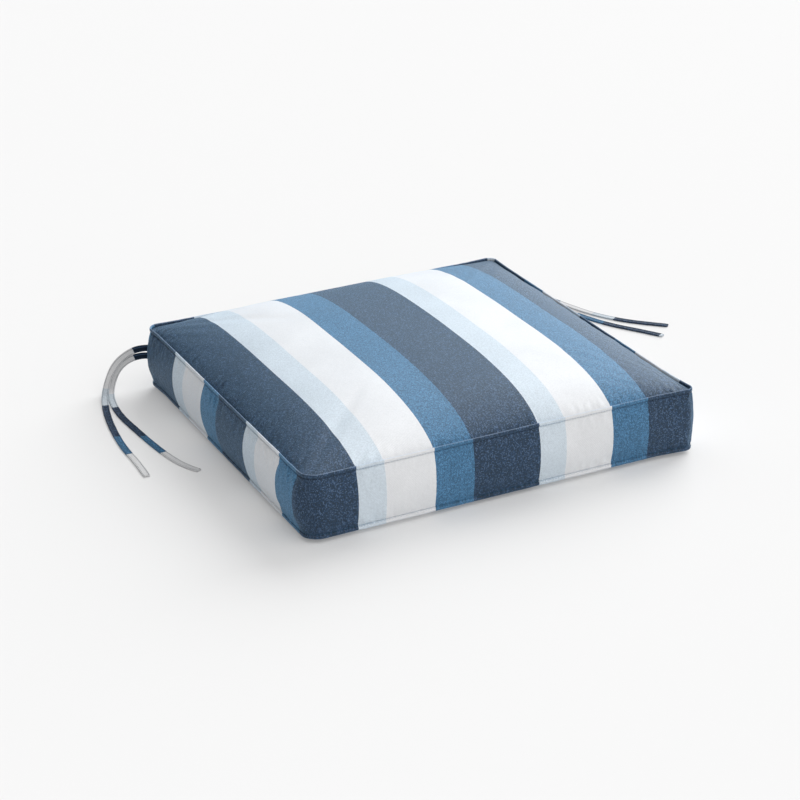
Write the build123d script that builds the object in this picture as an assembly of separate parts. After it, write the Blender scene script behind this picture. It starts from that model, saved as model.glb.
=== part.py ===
from build123d import *
import os
from math import tan, radians, pi

# A square boxed seat pad with a mock welt round both faces, two pairs of tie tapes at the
# back corners and a zip in the back wall.  Millimetres.  +X is right seen from the front,
# -Y is the front, +Z is up, and Z = 0 is the surface that the pad lies on.

# ---- driving dimensions -------------------------------------------------------------------
width = 482.6                      # 19 in, over the welts
depth = 482.6
corner_radius = 22.0               # of the welt seen from above
corner_softening = 20.0            # extra corner radius half way up the wall
seam_lift = 5.0                    # lowest edge of the bottom welt above the floor
wall_height = 77.5                 # from the bottom edge of one welt to the top edge of the other
wall_bulge = 8.0                   # how far the wall swells past the welt line
crown_height = 34.0                # top of the crown above the top welt
cloth = 1.0                        # cloth thickness
gap = 0.2                          # air between neighbouring soft pieces

welt_height = 3.8
welt_thickness = 2.6
seam_inset = 1.2                   # the wall starts this far inside the welt's outer edge

foam_margin = 7.0                  # foam block to seam, filled by wadding
contact_inset = 60.0               # the underside is flat further in than this
crown_power = 3.7                  # shape of the crown across the pad
crown_edge_power = 0.68            # how steeply the crown leaves the welt

zip_length = 406.0                 # 16 in chain
zip_window = 4.0                   # half the height of the slot the chain shows in
zip_tape_half = 14.0
zip_tape_thickness = 0.7
tooth_half = 3.2                   # chain centre line to the back of the teeth
tooth_gap = 0.6                    # chain centre line to the tips, room for the slider's post
tooth_height = 2.1
stop_length = 2.4

slider_length = 11.0
slider_width = 9.5
slider_plate = 1.5
slider_back_plate = 1.1
slider_clear = 0.3
pull_length = 24.0
pull_width = 6.0
pull_thickness = 1.2
pin_radius = 0.6
pin_clear = 0.08
eye_radius = 1.5

tie_diameter = 5.0                 # a round stand-in for a flat 9.5 x 2.2 tape
tie_floor = 2.7                    # centre of a tie that lies on the floor

# ---- worked out from those ---------------------------------------------------------------
bottom_edge = seam_lift
top_edge = seam_lift + wall_height
wall_low = bottom_edge + welt_height + gap
wall_high = top_edge - welt_height - gap
wall_middle = (wall_low + wall_high) / 2
wall_half = (wall_high - wall_low) / 2
face_inset = welt_thickness + gap  # the faces start inside the welts
dome_base = wall_high + 0.5
dome_rise = top_edge + crown_height - dome_base
dish_base = wall_low - 0.5
back_wall = depth / 2 + wall_bulge


def outline(inset, radius, height):
    """Rounded square at one height, inset from the welt's outer edge."""
    size_x = width - 2 * inset
    size_y = depth - 2 * inset
    safe_radius = min(radius, 0.45 * min(size_x, size_y))
    return Pos(0, 0, height) * RectangleRounded(size_x, size_y, safe_radius)


def drum(skin):
    """The space between the seams, skin millimetres inside the wall's outer surface."""
    levels = []
    steps = 6
    for i in range(steps + 1):
        along = -1 + 2 * i / steps
        swell = 1 - along ** 2
        bulge = (wall_bulge + seam_inset) * swell - seam_inset
        radius = corner_radius + corner_softening * swell - skin
        levels.append(outline(skin - bulge, radius, wall_middle + along * wall_half))
    return loft(levels)


def dome(skin):
    """The crowned space over the top seam, lowered by the skin."""
    levels = []
    for inset in (0, 3, 9, 20, 36, 56, 80, 110, 145, 185):
        across = 1 - inset / (width / 2 - face_inset)
        rise = dome_rise * (1 - across ** crown_power) ** crown_edge_power
        radius = corner_radius - face_inset + 0.9 * inset
        levels.append(outline(face_inset + inset, radius, dome_base + rise - skin))
    return loft(levels, ruled=True)


def dish(skin):
    """The shallow space under the bottom seam, raised by the skin."""
    levels = []
    for inset in (contact_inset, 36, 18, 7, 0):
        rise = dish_base * (1 - inset / contact_inset) ** 2
        radius = corner_radius - face_inset + 0.6 * inset
        levels.append(outline(face_inset + inset, radius, rise + skin))
    return loft(levels, ruled=True)


def slab(low, high, back=depth):
    """A block over the whole plan between two heights, cut off at the back."""
    size = 2 * width
    tall = high - low
    return Pos(0, back - size / 2, low + tall / 2) * Box(size, size, tall)


# ---- filling ------------------------------------------------------------------------------
def filling():
    """Foam block with wadding above and below it, set back behind the zip."""
    skin = cloth + gap
    inside = drum(skin) + dome(skin) + dish(skin)
    zip_depth = cloth + gap + zip_tape_thickness + 2 * slider_clear + slider_back_plate + gap
    back = back_wall - zip_depth - gap
    foam_low = wall_low + foam_margin
    foam_high = wall_high - foam_margin
    top = top_edge + crown_height
    foam = inside & slab(foam_low, foam_high, back)
    above = inside & slab(foam_high + gap, top, back)
    below = inside & slab(0, foam_low - gap, back)
    return foam, above, below


# ---- cover --------------------------------------------------------------------------------
def faces():
    """Top panel and bottom panel, each one skin of cloth."""
    top = dome(0) - dome(cloth)
    bottom = dish(0) - dish(cloth)
    return top, bottom


def welt(low):
    """One folded ridge of cloth that runs round a seam."""
    outer = extrude(outline(0, corner_radius, low), welt_height)
    inner = extrude(outline(welt_thickness, corner_radius - welt_thickness, low), welt_height)
    ring = outer - inner
    top_edges = ring.edges().group_by(Axis.Z)[-1]
    return fillet(top_edges, welt_thickness / 3)


def back_wedge(shift):
    """Prism over the back of the pad, bounded by planes through the two back corners."""
    reach = width
    points = [(0, shift), (reach, reach + shift), (-reach, reach + shift)]
    return Pos(0, 0, wall_low - 5) * extrude(Polygon(*points, align=None), wall_height)


def walls():
    """Band round left, front and right, and the two halves of the back wall."""
    shell = drum(0) - drum(cloth)
    seam_shift = 6.0               # the corner seams lie just behind the ties
    band = shell - back_wedge(seam_shift - gap)
    back = shell & back_wedge(seam_shift)
    half_window = zip_length / 2 + stop_length + 1
    window = Pos(0, back_wall, wall_middle) * Box(2 * half_window, 30, 2 * zip_window)
    upper = back & slab(wall_middle + gap / 2, wall_high + 1)
    lower = back & slab(wall_low - 1, wall_middle - gap / 2)
    return band, upper - window, lower - window


# ---- zip ----------------------------------------------------------------------------------
tape_front = back_wall - cloth - gap
tape_back = tape_front - zip_tape_thickness
tooth_front = tape_front + tooth_height


def zip_side(side):
    """Tape and tooth strip on one side of the chain: +1 above it, -1 below it."""
    tape_length = zip_length + 2 * stop_length + 20
    tape_middle = side * (zip_tape_half + tooth_gap) / 2
    tape_box = Box(tape_length, 30, zip_tape_half - tooth_gap)
    hollow = drum(cloth + gap) - drum(cloth + gap + zip_tape_thickness)
    tape = hollow & Pos(0, back_wall, wall_middle + tape_middle) * tape_box
    tall = tooth_half - tooth_gap
    place_z = wall_middle + side * (tooth_half + tooth_gap) / 2
    place_y = tape_front + gap / 4 + tooth_height / 2
    strip = Box(zip_length, tooth_height, tall)
    strip = fillet(strip.edges().filter_by(Axis.X), 0.7)
    return tape, Pos(0, place_y, place_z) * strip


def top_stop(side):
    """Small clip at the closed end of one tape."""
    clip = Box(stop_length, tooth_height + 0.4, tooth_half - tooth_gap)
    clip = fillet(clip.edges().filter_by(Axis.Z), 0.5)
    place_x = zip_length / 2 + stop_length / 2 + gap
    place_z = wall_middle + side * (tooth_half + tooth_gap) / 2
    return Pos(place_x, tape_front + gap / 4 + tooth_height / 2 + 0.2, place_z) * clip


def bottom_stop():
    """Clip across both tapes at the open end."""
    clip = Box(stop_length, tooth_height + 0.4, 2 * tooth_half)
    clip = fillet(clip.edges().filter_by(Axis.Z), 0.5)
    place_x = -(zip_length / 2 + stop_length / 2 + gap)
    return Pos(place_x, tape_front + gap / 4 + tooth_height / 2 + 0.2, wall_middle) * clip


slider_x = zip_length / 2 - slider_length / 2 - 0.5
plate_low = tooth_front + gap + slider_clear
plate_high = plate_low + slider_plate
pin_y = plate_high + eye_radius + slider_clear


def slider():
    """Front and back plates joined by a post, with a pin for the pull on its front."""
    front = Box(slider_length, slider_plate, slider_width)
    front = fillet(front.edges().filter_by(Axis.Y), 3.0)
    front = Pos(slider_x, (plate_low + plate_high) / 2, wall_middle) * front
    back = Box(slider_length, slider_back_plate, slider_width)
    back = fillet(back.edges().filter_by(Axis.Y), 3.0)
    back_y = tape_back - slider_clear - slider_back_plate / 2
    back = Pos(slider_x, back_y, wall_middle) * back
    post_length = 4.0
    post_deep = plate_low - back_y
    post_x = slider_x + slider_length / 2 - post_length / 2 - 1
    post = Pos(post_x, back_y + post_deep / 2, wall_middle) * Box(post_length, post_deep, 2 * (tooth_gap - 0.3))
    body = front + back + post
    ear_width = 1.8
    ear_thick = 1.0
    ear_top = pin_y + 0.9
    for side in (1, -1):
        ear = Box(ear_width, ear_top - plate_high + 0.2, ear_thick)
        ear_z = wall_middle + side * (ear_thick / 2 + 2.2)
        body += Pos(slider_x, (ear_top + plate_high - 0.2) / 2, ear_z) * ear
    pin = Cylinder(pin_radius, 2 * (2.2 + ear_thick / 2))
    return body + Pos(slider_x, pin_y, wall_middle) * pin


def pull():
    """Tab with an eye round the slider's pin, lying towards the closed end."""
    eye_half = 1.9
    neck_half = 1.6
    wide_from = 2.9
    eye = Cylinder(eye_radius, 2 * eye_half)
    neck = Pos(wide_from / 2 + 0.5, 0, 0) * Box(wide_from + 1, pull_thickness, 2 * neck_half)
    tab_length = pull_length - wide_from
    tab = Box(tab_length, pull_thickness, pull_width)
    tab = fillet(tab.edges().filter_by(Axis.Y), 2.0)
    slot = Box(tab_length * 0.4, 3 * pull_thickness, pull_width * 0.36)
    slot = fillet(slot.edges().filter_by(Axis.Y), 1.0)
    tab = tab - Pos(tab_length * 0.2, 0, 0) * slot
    tab = Pos(wide_from + tab_length / 2, 0, 0) * tab
    hole = Cylinder(pin_radius + pin_clear, 4 * eye_half)
    return Pos(slider_x, pin_y, wall_middle) * (eye + neck + tab - hole)


# ---- ties ---------------------------------------------------------------------------------
# Each tape leaves the corner seam with its width upright, arcs down and lies along the floor.
tie_routes = {
    "tie_left_upper": [
        (-237.1, 237.1, 53), (-254, 241, 56), (-273, 250, 46), (-290, 251, 30),
        (-302, 246, 6), (-312, 220, tie_floor), (-323, 177, tie_floor), (-331, 125, tie_floor),
        (-334.5, 80, tie_floor), (-333.5, 40, tie_floor), (-336, 2, tie_floor)],
    "tie_left_lower": [
        (-237.1, 237.1, 42), (-251, 241, 45.5), (-269, 249.5, 39), (-284, 253, 26),
        (-294, 249, 4), (-303, 220, tie_floor), (-308, 176, tie_floor), (-304.5, 124, tie_floor),
        (-301, 80, tie_floor), (-296, 40, tie_floor), (-288, 5, tie_floor), (-278, -13, tie_floor)],
    "tie_right_upper": [
        (237.1, 237.1, 53), (250, 249, 55), (269, 264, 44), (287, 276, 24),
        (307, 281, 4), (331, 262, tie_floor), (342, 222, tie_floor), (356, 177, tie_floor),
        (378, 139, tie_floor), (400, 114, tie_floor), (423, 92, tie_floor)],
    "tie_right_lower": [
        (237.1, 237.1, 42), (250, 247, 45), (266, 260, 37), (283, 269, 22),
        (304, 266, 4), (322, 244, tie_floor), (332, 206, tie_floor), (343, 168, tie_floor),
        (360, 128, tie_floor), (382, 95, tie_floor), (399, 66, tie_floor)]}


def bend_radii(points):
    """As large an arc at each point as the two runs beside it allow."""
    radii = []
    for before, here, after in zip(points, points[1:], points[2:]):
        run_in = Vector(*here) - Vector(*before)
        run_out = Vector(*after) - Vector(*here)
        half_turn = radians(run_in.get_angle(run_out)) / 2
        radii.append(0.45 * min(run_in.length, run_out.length) / tan(half_turn))
    return radii


def tie(name):
    """Round tube along one tie's route."""
    points = tie_routes[name]
    radii = bend_radii(points)
    path = FilletPolyline(*points, radius=radii)
    start = Plane(origin=path @ 0, z_dir=path % 0)
    tube = sweep(start * Circle(tie_diameter / 2), path=path)
    section = pi * tie_diameter ** 2 / 4
    print(name, "length", round(path.length, 1), "smallest radius", round(min(radii), 1),
          "volume over section x length", round(tube.volume / (section * path.length), 4))
    return tube


def build():
    """Every piece of the pad by name."""
    parts = {}
    parts["foam_core"], parts["wadding_top"], parts["wadding_bottom"] = filling()
    parts["top_panel"], parts["bottom_panel"] = faces()
    parts["top_welt"] = welt(top_edge - welt_height)
    parts["bottom_welt"] = welt(bottom_edge)
    parts["boxing_band"], parts["zip_band_upper"], parts["zip_band_lower"] = walls()
    parts["zip_tape_upper"], parts["zip_teeth_upper"] = zip_side(1)
    parts["zip_tape_lower"], parts["zip_teeth_lower"] = zip_side(-1)
    parts["zip_top_stop_upper"] = top_stop(1)
    parts["zip_top_stop_lower"] = top_stop(-1)
    parts["zip_bottom_stop"] = bottom_stop()
    parts["zip_slider"] = slider()
    parts["zip_pull"] = pull()
    for name in tie_routes:
        parts[name] = tie(name)
    return parts


os.makedirs("parts", exist_ok=True)
for node, shape in build().items():
    export_step(shape, os.path.join("parts", node + ".step"))
print("pull hinge at", round(slider_x, 2), round(pin_y, 2), round(wall_middle, 2))
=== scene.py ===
import math

import bmesh
import bpy
from mathutils import Matrix, Vector, noise


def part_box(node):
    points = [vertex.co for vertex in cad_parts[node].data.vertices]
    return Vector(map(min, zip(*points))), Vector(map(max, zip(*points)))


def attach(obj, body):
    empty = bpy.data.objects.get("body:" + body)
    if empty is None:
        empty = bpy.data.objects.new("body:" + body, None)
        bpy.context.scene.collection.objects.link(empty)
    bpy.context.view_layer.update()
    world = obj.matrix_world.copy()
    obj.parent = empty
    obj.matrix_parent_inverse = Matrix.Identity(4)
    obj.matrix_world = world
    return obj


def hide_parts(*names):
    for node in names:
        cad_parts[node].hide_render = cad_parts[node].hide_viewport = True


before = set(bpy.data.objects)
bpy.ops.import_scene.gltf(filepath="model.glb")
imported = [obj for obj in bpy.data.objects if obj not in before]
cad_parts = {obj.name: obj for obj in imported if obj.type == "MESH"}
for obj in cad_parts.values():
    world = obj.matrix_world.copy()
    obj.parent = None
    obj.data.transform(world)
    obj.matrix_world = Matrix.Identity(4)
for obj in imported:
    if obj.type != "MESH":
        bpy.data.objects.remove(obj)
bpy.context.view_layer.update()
scene = bpy.context.scene
mm = 0.001
tiny = 1e-6
print("frame loaded:", len(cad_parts), "nodes")

view = {
    "azimuth": -25.32,  # degrees round from the front
    "elevation": 24.49,
    "roll": -1.54,
    "distance": 2.694,
    "target": (0.0073, 0.0434, 0.005),
    "lens": 99.1,
}


def directionOf(around, up):
    # degrees round from the right towards the back, and degrees up
    around, up = math.radians(around), math.radians(up)
    return Vector((math.cos(around) * math.cos(up), math.sin(around) * math.cos(up), math.sin(up)))


def makeCamera(v):
    back = directionOf(v["azimuth"] - 90, v["elevation"])
    right = (-back).cross(Vector((0, 0, 1))).normalized()
    over = right.cross(-back)
    tilt = math.radians(v["roll"])
    axisX = right * math.cos(tilt) + over * math.sin(tilt)
    axisY = over * math.cos(tilt) - right * math.sin(tilt)
    place = Vector(v["target"]) + back * v["distance"]
    turn = Matrix((axisX, axisY, back)).transposed().to_4x4()
    data = bpy.data.cameras.new("camera")
    data.lens = v["lens"]
    data.sensor_width = 36.0
    data.clip_end = 50.0
    camera = bpy.data.objects.new("camera", data)
    camera.matrix_world = Matrix.Translation(place) @ turn
    scene.collection.objects.link(camera)
    scene.camera = camera


makeCamera(view)


def addObject(name, mesh):
    thing = bpy.data.objects.new(name, mesh)
    scene.collection.objects.link(thing)
    return thing


def meshFrom(name, points, faces, smooth=True):
    mesh = bpy.data.meshes.new(name)
    mesh.from_pydata(points, [], faces)
    mesh.validate()
    mesh.update()
    if smooth:
        mesh.polygons.foreach_set("use_smooth", [True] * len(mesh.polygons))
    return mesh


def storePlace(mesh, places):
    # where each point lies in the cloth, in metres: across the stripes, along them; then how much painted
    # highlight it gets
    layer = mesh.attributes.new("clothPlace", "FLOAT_VECTOR", "POINT")
    flat = [value for place in places for value in (*place, 0.0)[:3]]
    layer.data.foreach_set("vector", flat)


def facesOut(mesh):
    shell = bmesh.new()
    shell.from_mesh(mesh)
    bmesh.ops.recalc_face_normals(shell, faces=shell.faces)
    shell.to_mesh(mesh)
    shell.free()


def clothMesh(name, points, faces, places):
    mesh = meshFrom(name, points, faces)
    storePlace(mesh, places)
    facesOut(mesh)
    return mesh


def plainMesh(thing):
    bpy.context.view_layer.update()
    graph = bpy.context.evaluated_depsgraph_get()
    return bpy.data.meshes.new_from_object(thing.evaluated_get(graph))


def applyModifiers(thing):
    finished = plainMesh(thing)
    thing.modifiers.clear()
    thing.data = finished


def subdivide(thing, levels):
    modifier = thing.modifiers.new("finer", "SUBSURF")
    modifier.levels = levels
    modifier.render_levels = levels
    modifier.boundary_smooth = "PRESERVE_CORNERS"


def thicken(thing, thickness):
    modifier = thing.modifiers.new("thickness", "SOLIDIFY")
    modifier.thickness = thickness
    modifier.offset = -1.0
    modifier.use_even_offset = True


def standFor(piece, node):
    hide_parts(node)
    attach(piece, "cover")


def tubeFaces(start, rings, width):
    # quads between neighbouring outlines of a tube, and a cap on each end
    faces = []
    for step in range(rings - 1):
        for k in range(width):
            a = start + step * width + k
            b = start + step * width + (k + 1) % width
            faces.append((a, b, b + width, a + width))
    last = start + (rings - 1) * width
    faces.append(tuple(range(start, start + width)))
    faces.append(tuple(range(last, last + width))[::-1])
    return faces


class Nodes:
    # short way to add and link nodes in one tree

    def __init__(self, tree):
        self.tree = tree

    def add(self, kind, **settings):
        node = self.tree.nodes.new(kind)
        for name, value in settings.items():
            setattr(node, name, value)
        return node

    def link(self, fromSocket, toSocket):
        self.tree.links.new(fromSocket, toSocket)

    def math(self, operation, first, second=None, third=None):
        node = self.add("ShaderNodeMath", operation=operation)
        for index, value in enumerate((first, second, third)):
            if value is None:
                continue
            if isinstance(value, (int, float)):
                node.inputs[index].default_value = value
            else:
                self.link(value, node.inputs[index])
        return node.outputs[0]

    def ramp(self, factor, stops, interpolation="LINEAR"):
        node = self.add("ShaderNodeValToRGB")
        node.color_ramp.interpolation = interpolation
        elements = node.color_ramp.elements
        while len(elements) > 1:
            elements.remove(elements[-1])
        for index, (at, colour) in enumerate(stops):
            element = elements[0] if index == 0 else elements.new(at)
            element.position = at
            element.color = (*colour, 1.0)
        self.link(factor, node.inputs[0])
        return node.outputs[0]

    def noise(self, vector, scale, detail=2.0, roughness=0.5):
        node = self.add("ShaderNodeTexNoise")
        setInputs(node, {"Scale": scale, "Detail": detail, "Roughness": roughness})
        self.link(vector, node.inputs["Vector"])
        return node.outputs[0]

    def mix(self, blend, factor, first, second):
        node = self.add("ShaderNodeMix", data_type="RGBA", blend_type=blend)
        for socket, value in ((node.inputs[0], factor), (node.inputs[6], first), (node.inputs[7], second)):
            if isinstance(value, (int, float)):
                socket.default_value = value
            elif isinstance(value, tuple):
                socket.default_value = (*value, 1.0)
            else:
                self.link(value, socket)
        return node.outputs[2]


def newMaterial(name):
    material = bpy.data.materials.new(name)
    material.use_nodes = True
    nodes = Nodes(material.node_tree)
    shader = material.node_tree.nodes["Principled BSDF"]
    return material, nodes, shader


def objectPlace(nodes):
    return nodes.add("ShaderNodeTexCoord").outputs["Object"]


def setInputs(node, values):
    for name, value in values.items():
        node.inputs[name].default_value = value


def bumpInto(nodes, shader, height, distance, strength=1.0):
    bump = nodes.add("ShaderNodeBump")
    setInputs(bump, {"Strength": strength, "Distance": distance})
    nodes.link(height, bump.inputs["Height"])
    nodes.link(bump.outputs[0], shader.inputs["Normal"])


cloth = {
    "repeat": 0.2239,  # one set of four stripes
    "firstEdge": -0.1811,  # where a pale stripe starts on the top, across the pad
    "pale": 0.033,
    "white": 0.060,
    "blue": 0.0475,  # navy is what is left
    "paleColour": (0.590, 0.650, 0.700),
    "whiteColour": (0.745, 0.740, 0.742),
    "blueColour": (0.042, 0.134, 0.250),
    "navyColour": (0.0072, 0.0205, 0.051),
    "paleYarn": (0.22, 0.28, 0.35),
    # painted highlight colour for the welt's crest, standing in for sheen there
    "crestHighlightColour": (0.42, 0.54, 0.76),
    # painted shade colour for the ties' grooves and edges
    "tapeShadeColour": (0.03, 0.04, 0.06),
    "edgeWander": 0.0006,  # how far a stripe's edge strays
    "edgeDetail": 900.0,  # and how often, in strays to the metre
    "yarn": 0.00105,  # width of one yarn pair
    "slub": 0.0021,  # size of the larger flecks
    "heather": (0.08, 0.03, 0.40, 0.85),  # how far single yarns stray from their stripe's colour
    "fleckSwing": 2.5,
    "slubSwing": 1.4,
    "paleShare": 0.22,  # how pale the palest yarns are
    "twill": 0.0024,  # spacing of the diagonal lines
    "twillSlope": 0.8,
    "twillLines": (0.03, 0.012, 0.10, 0.06),
    "crestHighlight": 0.24,  # share of painted highlight on the welt's crest
    "grooveHalf": 0.0004,  # half width of the painted shade line in a tie's stitched groove
    "tapeEdge": (0.0043, 0.0005),  # where a tie's shaded edge is, and half its width
    "grooveShade": 0.45,
    "edgeShade": 0.25,
    "dyeDetail": 14.0,  # slow unevenness of the dye, in patches to the metre
    "dyeRange": (0.96, 1.03),
    "weaveDepth": 0.00009,
    "roughness": 0.6,
    "gloss": 0.72,
    "glossTint": (0.60, 0.80, 1.0),
    "sheen": 0.28,
    "sheenTint": (0.30, 0.66, 1.0),
    "sheenRoughness": 0.45,
}


def stripeStops(c, values):
    # pale, white, blue, navy, in the order that they follow across the cloth
    white = c["pale"] / c["repeat"]
    blue = white + c["white"] / c["repeat"]
    navy = blue + c["blue"] / c["repeat"]
    return [(0.0, values[0]), (white, values[1]), (blue, values[2]), (navy, values[3])]


def clothAxes(nodes):
    # across the stripes, along them, and how much painted highlight the place gets
    stored = nodes.add("ShaderNodeAttribute", attribute_name="clothPlace").outputs["Vector"]
    split = nodes.add("ShaderNodeSeparateXYZ")
    nodes.link(stored, split.inputs[0])
    return split.outputs


def stripeTurns(nodes, c, across):
    # runs from 0 to 1 over each set of four stripes
    fromEdge = nodes.math("SUBTRACT", across, c["firstEdge"])
    return nodes.math("FRACT", nodes.math("DIVIDE", fromEdge, c["repeat"]))


def perStripe(nodes, c, turns, amounts):
    return nodes.ramp(turns, stripeStops(c, [(v, v, v) for v in amounts]), "CONSTANT")


def yarnFlecks(nodes, c, place):
    # one random value for each crossing of two yarns, in rows that are a little uneven
    wobble = nodes.add("ShaderNodeTexNoise")
    wobble.inputs["Scale"].default_value = 0.5 / c["yarn"]
    nodes.link(place, wobble.inputs["Vector"])
    shaken = nodes.add("ShaderNodeVectorMath", operation="MULTIPLY_ADD")
    nodes.link(wobble.outputs["Color"], shaken.inputs[0])
    shaken.inputs[1].default_value = (0.5 * c["yarn"], 0.5 * c["yarn"], 0.0)
    nodes.link(place, shaken.inputs[2])
    yarns = nodes.add("ShaderNodeVectorMath", operation="SNAP")
    nodes.link(shaken.outputs[0], yarns.inputs[0])
    yarns.inputs[1].default_value = (c["yarn"], c["yarn"] * 1.1, 1.0)
    grain = nodes.add("ShaderNodeTexWhiteNoise", noise_dimensions="2D")
    nodes.link(yarns.outputs[0], grain.inputs["Vector"])
    return grain.outputs["Value"]


def paintTapeShade(nodes, c, along, grooves, colour):
    # painted shade in the stitched grooves along both sides of a tape, and painted shade on its edges
    reach = nodes.math("ABSOLUTE", along)
    fromLine = nodes.math("ABSOLUTE", nodes.math("SUBTRACT", reach, grooves))
    line = nodes.math("MULTIPLY", nodes.math("LESS_THAN", fromLine, c["grooveHalf"]), c["grooveShade"])
    edge = nodes.math("MULTIPLY", nodes.math("COMPARE", reach, *c["tapeEdge"]), c["edgeShade"])
    return nodes.mix("MIX", nodes.math("ADD", line, edge), colour, c["tapeShadeColour"])


def stripedCloth(name, c, shade=1.0, grooves=None, gloss=cloth["gloss"], sheen=cloth["sheen"]):
    material, nodes, shader = newMaterial(name)
    across, along, crestHighlight = clothAxes(nodes)
    flatPlace = nodes.add("ShaderNodeCombineXYZ")
    nodes.link(across, flatPlace.inputs[0])
    nodes.link(along, flatPlace.inputs[1])
    place = flatPlace.outputs[0]
    ragged = nodes.noise(place, c["edgeDetail"], 0.0)
    wander = nodes.math("MULTIPLY", nodes.math("SUBTRACT", ragged, 0.5), c["edgeWander"])
    turns = stripeTurns(nodes, c, nodes.math("ADD", across, wander))
    colours = [c["paleColour"], c["whiteColour"], c["blueColour"], c["navyColour"]]
    colour = nodes.ramp(turns, stripeStops(c, colours), "CONSTANT")
    # heather of lighter and darker yarns
    stray = perStripe(nodes, c, turns, c["heather"])
    fleck = yarnFlecks(nodes, c, place)
    slub = nodes.noise(place, 1.0 / c["slub"], 1.0, 0.5)
    fine = nodes.math("MULTIPLY", nodes.math("SUBTRACT", fleck, 0.5), c["fleckSwing"])
    broad = nodes.math("MULTIPLY", nodes.math("SUBTRACT", slub, 0.5), c["slubSwing"])
    swing = nodes.math("MULTIPLY", nodes.math("ADD", fine, broad), stray)
    # diagonal twill, faint on the pale stripes and clear on the blue
    lines = perStripe(nodes, c, turns, c["twillLines"])
    diagonal = nodes.math("ADD", across, nodes.math("MULTIPLY", along, c["twillSlope"]))
    waves = nodes.math("SINE", nodes.math("MULTIPLY", diagonal, 2 * math.pi / c["twill"]))
    gain = nodes.math("EXPONENT", nodes.math("ADD", swing, nodes.math("MULTIPLY", waves, lines)))
    grey = nodes.add("ShaderNodeCombineColor")
    for socket in grey.inputs:
        nodes.link(gain, socket)
    shaded = nodes.mix("MULTIPLY", 1.0, colour, grey.outputs[0])
    paleYarns = nodes.ramp(fleck, [(0.74, (0.0, 0.0, 0.0)), (0.95, (1.0, 1.0, 1.0))])
    paleness = nodes.math("MULTIPLY", paleYarns, nodes.math("MULTIPLY", stray, c["paleShare"]))
    shaded = nodes.mix("MIX", paleness, shaded, c["paleYarn"])
    # painted highlight: the welt's crest is lightened where it would catch sheen
    shaded = nodes.mix("MIX", nodes.math("MULTIPLY", crestHighlight, c["crestHighlight"]), shaded, c["crestHighlightColour"])
    # painted shade in the ties' grooves and on their edges
    if grooves:
        shaded = paintTapeShade(nodes, c, along, grooves, shaded)
    cloud = nodes.noise(place, c["dyeDetail"], 3.0)
    darker, lighter = c["dyeRange"]
    dye = nodes.ramp(cloud, [(0.35, (darker * shade,) * 3), (0.65, (lighter * shade,) * 3)])
    nodes.link(nodes.mix("MULTIPLY", 1.0, shaded, dye), shader.inputs["Base Color"])
    warp = nodes.math("SINE", nodes.math("MULTIPLY", across, 2 * math.pi / c["yarn"]))
    weft = nodes.math("SINE", nodes.math("MULTIPLY", along, 2 * math.pi / c["yarn"]))
    weave = nodes.math("ADD", nodes.math("MULTIPLY", warp, weft), nodes.math("MULTIPLY", waves, 0.6))
    height = nodes.math("ADD", weave, nodes.math("MULTIPLY", slub, 1.4))
    bumpInto(nodes, shader, height, c["weaveDepth"], 0.8)
    setInputs(shader, {
        "Roughness": c["roughness"], "Specular IOR Level": gloss, "Specular Tint": (*c["glossTint"], 1.0),
        "Sheen Weight": sheen, "Sheen Roughness": c["sheenRoughness"], "Sheen Tint": (*c["sheenTint"], 1.0)})
    return material


clothMaterial = stripedCloth("stripedCloth", cloth)
tieMaterial = stripedCloth("tieCloth", cloth, shade=0.85, grooves=0.0029, gloss=0.2, sheen=0.05)

zipLook = {
    "tapeDark": (0.022, 0.034, 0.060),
    "tapeLight": (0.045, 0.062, 0.10),
    "tapeRibs": 0.0009,
    "tapePicks": 0.0007,
    "nylonDark": (0.030, 0.042, 0.075),
    "nylonLight": (0.050, 0.066, 0.11),
    "paint": (0.055, 0.070, 0.105),
    "bareMetal": (0.42, 0.43, 0.45),
}
# each tone is darker than its stripe: the thread's own colour with painted shade of the needle holes
threadAndShadeTones = [(0.26, 0.33, 0.46), (0.42, 0.45, 0.52), (0.022, 0.055, 0.10), (0.010, 0.018, 0.034)]


def threadMaterial():
    # the thread's tone follows the stripe that it is sewn through, darkened with painted shade of the needle
    # holes
    material, nodes, shader = newMaterial("sewingThread")
    turns = stripeTurns(nodes, cloth, clothAxes(nodes)[0])
    colour = nodes.ramp(turns, stripeStops(cloth, threadAndShadeTones), "CONSTANT")
    place = objectPlace(nodes)
    twist = nodes.noise(place, 2500.0, 1.0)
    uneven = nodes.ramp(twist, [(0.3, (0.8, 0.8, 0.8)), (0.7, (1.2, 1.2, 1.2))])
    nodes.link(nodes.mix("MULTIPLY", 1.0, colour, uneven), shader.inputs["Base Color"])
    bumpInto(nodes, shader, twist, 0.00005)
    setInputs(shader, {"Roughness": 0.6, "Sheen Weight": 0.2})
    return material


def zipTapeMaterial():
    material, nodes, shader = newMaterial("zipTapeCloth")
    place = objectPlace(nodes)
    split = nodes.add("ShaderNodeSeparateXYZ")
    nodes.link(place, split.inputs[0])
    ribs = nodes.math("SINE", nodes.math("MULTIPLY", split.outputs[2], 2 * math.pi / zipLook["tapeRibs"]))
    picks = nodes.math("SINE", nodes.math("MULTIPLY", split.outputs[0], 2 * math.pi / zipLook["tapePicks"]))
    weave = nodes.math("MULTIPLY", ribs, picks)
    speck = nodes.noise(place, 900.0, 2.0)
    colour = nodes.ramp(speck, [(0.3, zipLook["tapeDark"]), (0.7, zipLook["tapeLight"])])
    nodes.link(colour, shader.inputs["Base Color"])
    bumpInto(nodes, shader, weave, 0.0001)
    setInputs(shader, {"Roughness": 0.85, "Sheen Weight": 0.25})
    return material


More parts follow.
